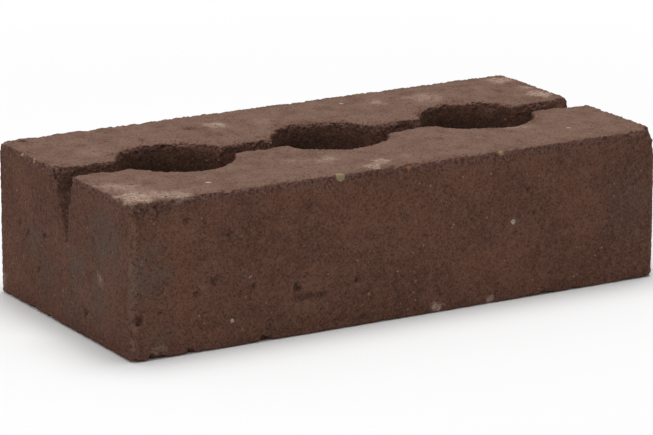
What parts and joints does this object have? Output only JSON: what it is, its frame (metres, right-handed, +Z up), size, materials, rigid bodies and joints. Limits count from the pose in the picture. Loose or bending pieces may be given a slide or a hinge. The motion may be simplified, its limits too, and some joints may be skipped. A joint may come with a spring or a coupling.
{
  "type": "hollow concrete facing brick",
  "caption": "Rectangular pressed concrete facing brick with a row of round through holes, a groove along the top bed and a notch in each end, for laying in mortar.",
  "frame": {"origin": "centre of the bottom bed, on the surface that the brick lies on", "axes": "+X along the length, +Y across the width, away from the facing side shown to the viewer, +Z up through the holes to the grooved top bed"},
  "size_m": [0.25, 0.12, 0.065],
  "materials": {
    "concrete": "rough, sandy, unpolished pressed concrete, brown all through"
  },
  "bodies": {
    "root": {"brick": "concrete"}
  },
  "joints": []
}
